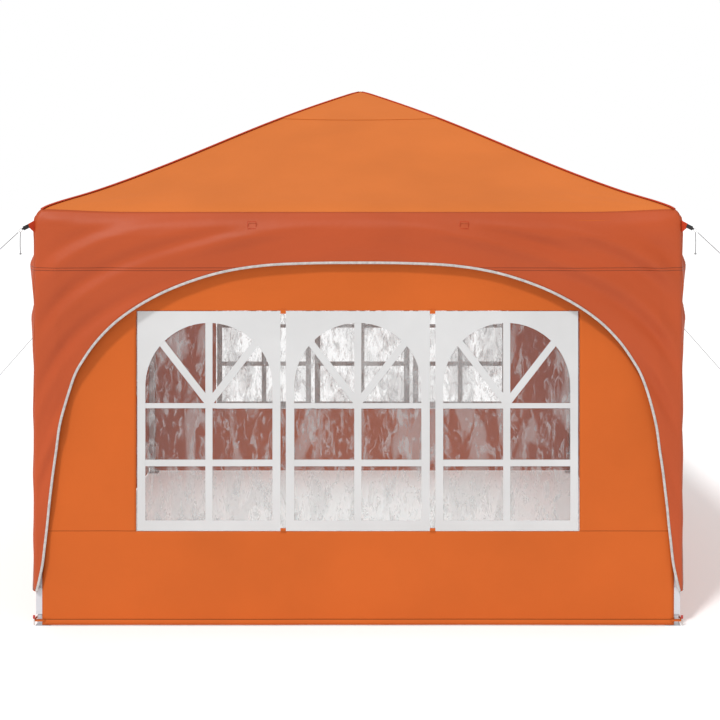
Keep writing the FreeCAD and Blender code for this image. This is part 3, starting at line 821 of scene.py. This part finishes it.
class SHELTER_OT_ropes(bpy.types.Operator):
    """Tie a taut rope and a loose tail to each corner's ring"""
    bl_idname = "shelter.ropes"
    bl_label = "Guy Ropes"

    def execute(self, context):
        sizes = context.scene.shelter_sizes
        for k, corner in enumerate(CORNERS):
            sx, sy = CORNER_SIGNS[k]
            centre = Vector((sx * (HALF + RING_OUT / math.sqrt(2)), sy * (HALF + RING_OUT / math.sqrt(2)), RING_Z))
            route = ROPE_PATHS["front" if sy < 0 else "back"]
            rope = [centre + Vector((sx * x, sy * y, z)) for x, y, z in route]
            hang = centre - Vector((0, 0, 0.0096))
            tail = [hang, hang + Vector((sx * 0.0025, sy * 0.0025, -0.0475)), hang - Vector((0, 0, 0.095))]
            for name, points, lay in ((f"guy_rope_{corner}", rope, "taut"), (f"rope_tail_{corner}", tail, "hanging")):
                self.cord(name, corner, points, lay, sizes.rope)
        return {"FINISHED"}

    def cord(self, name, corner, points, lay, diameter):
        """One cord with the knot at its end, on the corner's leg."""
        curve = bpy.data.curves.new(name, "CURVE")
        curve.dimensions = "3D"
        spline = curve.splines.new("NURBS")
        spline.points.add(len(points) - 1)
        for point, place in zip(spline.points, points):
            point.co = (*place, 1)
        spline.order_u = 3
        spline.use_endpoint_u = True
        spline.resolution_u = 16
        line = bpy.data.objects.new(f"{name}_line", curve)
        context = bpy.context.scene.collection.objects
        context.link(line)
        route = [Vector(v.co) for v in bpy.data.meshes.new_from_object(line).vertices]
        curve.bevel_depth = diameter / 2
        curve.bevel_resolution = 4
        curve.use_fill_caps = True
        bpy.context.view_layer.update()
        mesh = bpy.data.meshes.new_from_object(line.evaluated_get(bpy.context.evaluated_depsgraph_get()))
        bpy.data.objects.remove(line)
        bm = bmesh.new()
        bm.from_mesh(mesh)
        bmesh.ops.remove_doubles(bm, verts=bm.verts, dist=1e-6)
        bmesh.ops.recalc_face_normals(bm, faces=bm.faces)
        for face in bm.faces:
            face.smooth = True
        rope = show(name, bm, materials()["rope_grey"])
        knot = self.knot(f"{name}_knot", route[-1], diameter)
        for piece in (rope, knot):
            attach(piece, f"leg_{corner}")
            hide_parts(f"guy_rope_{corner}")
            if lay == "taut":
                along = (points[-1] - points[0])
                along.z = 0
                tuple(points[0])
                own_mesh(piece)
        tuple(points[0])

    def knot(self, name, end, diameter):
        """An overhand knot: three bights of the rope drawn tight."""
        def line(u):
            a = 2 * math.pi * u
            radius = diameter * (0.62 + 0.26 * math.cos(3 * a))
            return end + Vector((radius * math.cos(2 * a), radius * math.sin(2 * a),
                                 diameter * 0.5 * math.sin(3 * a) - 0.003))

        def across(u):
            ahead, behind = line((u + 1e-3) % 1), line((u - 1e-3) % 1)
            return (ahead - behind).cross(Vector((0.2, 0.1, 1))).normalized()

        def up(u):
            ahead, behind = line((u + 1e-3) % 1), line((u - 1e-3) % 1)
            return (ahead - behind).cross(across(u)).normalized()
        bm = tube(90, 10, line, across, up, diameter, diameter)
        bmesh.ops.remove_doubles(bm, verts=bm.verts, dist=1e-5)
        return show(name, bm, materials()["rope_grey"])


class SHELTER_OT_frame(bpy.types.Operator):
    """Coat the folding frame, its joints and its latches"""
    bl_idname = "shelter.frame"
    bl_label = "Frame Finishes"

    FINISHES = (("leg_button", "moulded_red"), ("slider_pin", "moulded_red"), ("slider", "moulded_black"),
                ("centre_hub", "moulded_black"), ("truss_joint", "moulded_black"), ("lower_leg", "leg_coat"),
                ("leg", "leg_coat"), ("hub_strut", "bar_coat"), ("peak_mast", "bar_coat"), ("_bar_", "bar_coat"))

    def execute(self, context):
        made = materials()
        for name in frame["nodes"]:
            found = [finish for key, finish in self.FINISHES if name.startswith(key) or key in name and key[0] == "_"]
            if not found:
                continue
            node = bpy.data.objects[name]
            for slot in node.material_slots:
                slot.material = made[found[0]]
        return {"FINISHED"}


class SHELTER_OT_stage(bpy.types.Operator):
    """Set the pale floor, the studio light and the camera"""
    bl_idname = "shelter.stage"
    bl_label = "Stage"

    def execute(self, context):
        self.floor()
        self.lights(context.scene)
        self.camera(context.scene)
        return {"FINISHED"}

    def floor(self):
        """A wide plain floor."""
        bm = bmesh.new()
        bmesh.ops.create_grid(bm, x_segments=4, y_segments=4, size=60.0)
        material, shader, links, add = new_material("floor_white")
        shade_between(add, links, shader, noise_at(add, 0.4), (0.86, 0.86, 0.86), (0.88, 0.88, 0.88))
        shader.inputs["Roughness"].default_value = 0.9
        shader.inputs["Specular IOR Level"].default_value = 0.1
        shader.inputs["Emission Color"].default_value = (1, 1, 1, 1)
        shader.inputs["Emission Strength"].default_value = 0.24
        show("floor", bm, material)

    def lights(self, scene):
        """Even light from all round, a soft key from above the front, and a glow inside."""
        world = bpy.data.worlds.new("studio")
        world.use_nodes = True
        nodes, links = world.node_tree.nodes, world.node_tree.links
        soft, backdrop = nodes["Background"], nodes.new("ShaderNodeBackground")
        soft.inputs["Color"].default_value = (1, 1, 1, 1)
        soft.inputs["Strength"].default_value = 0.58
        backdrop.inputs["Strength"].default_value = 1.0
        backdrop.inputs["Color"].default_value = (1, 1, 1, 1)
        pick = nodes.new("ShaderNodeMixShader")
        links.new(nodes.new("ShaderNodeLightPath").outputs["Is Camera Ray"], pick.inputs["Fac"])
        links.new(soft.outputs[0], pick.inputs[1])
        links.new(backdrop.outputs[0], pick.inputs[2])
        links.new(pick.outputs[0], nodes["World Output"].inputs["Surface"])
        scene.world = world
        scene.view_settings.view_transform = "Standard"
        sun = bpy.data.lights.new("sky_key", "SUN")
        sun.energy = 1.9
        sun.angle = math.radians(7)
        glow = bpy.data.lights.new("inside_glow", "AREA")
        glow.size = 2.5
        glow.energy = 12
        glow.color = (0.78, 1.0, 1.02)
        glow.spread = math.radians(80)
        for light, place, towards in ((sun, (0, 0, 5), (0.42, 0.62, -0.95)), (glow, (0, 0, 1.6), (0, 0, -1))):
            lamp = bpy.data.objects.new(light.name, light)
            lamp.location = place
            lamp.rotation_euler = Vector(towards).to_track_quat("-Z", "Y").to_euler()
            lamp.visible_camera = False
            scene.collection.objects.link(lamp)

    def camera(self, scene):
        """A level camera in front, shifted down to take in the whole shelter."""
        data = bpy.data.cameras.new("camera")
        data.lens = 62.2
        data.sensor_width = 36.0
        data.shift_x = -0.0132
        data.shift_y = -0.2607
        camera = bpy.data.objects.new("camera", data)
        camera.location = (0.053, -7.25, 2.10)
        camera.rotation_euler = (math.radians(90), 0, 0)
        scene.collection.objects.link(camera)
        scene.camera = camera


class SHELTER_PT_panel(bpy.types.Panel):
    """Sizes, colours and the steps that make the shelter"""
    bl_label = "Shelter"
    bl_idname = "SHELTER_PT_panel"
    bl_space_type = "VIEW_3D"
    bl_region_type = "UI"
    bl_category = "Shelter"

    def draw(self, context):
        for group in (context.scene.shelter_sizes, context.scene.shelter_colours):
            for name in group.__annotations__:
                self.layout.prop(group, name)
        for operator in OPERATORS:
            self.layout.operator(operator.bl_idname)


OPERATORS = (SHELTER_OT_stage, SHELTER_OT_ropes, SHELTER_OT_roof, SHELTER_OT_skirts, SHELTER_OT_walls,
             SHELTER_OT_windows, SHELTER_OT_corners, SHELTER_OT_frame)
CLASSES = (ShelterColours, ShelterSizes, *OPERATORS, SHELTER_PT_panel)


def register():
    for cls in CLASSES:
        bpy.utils.register_class(cls)
    bpy.types.Scene.shelter_colours = bpy.props.PointerProperty(type=ShelterColours)
    bpy.types.Scene.shelter_sizes = bpy.props.PointerProperty(type=ShelterSizes)


def unregister():
    del bpy.types.Scene.shelter_sizes
    del bpy.types.Scene.shelter_colours
    for cls in reversed(CLASSES):
        bpy.utils.unregister_class(cls)


def main():
    """Make every piece."""
    register()
    bpy.ops.shelter.stage()
    bpy.ops.shelter.ropes()
    bpy.ops.shelter.roof()
    bpy.ops.shelter.skirts()
    bpy.ops.shelter.walls()
    bpy.ops.shelter.windows()
    bpy.ops.shelter.corners()
    bpy.ops.shelter.frame()
    bpy.context.view_layer.update()


if __name__ == "__main__":
    main()
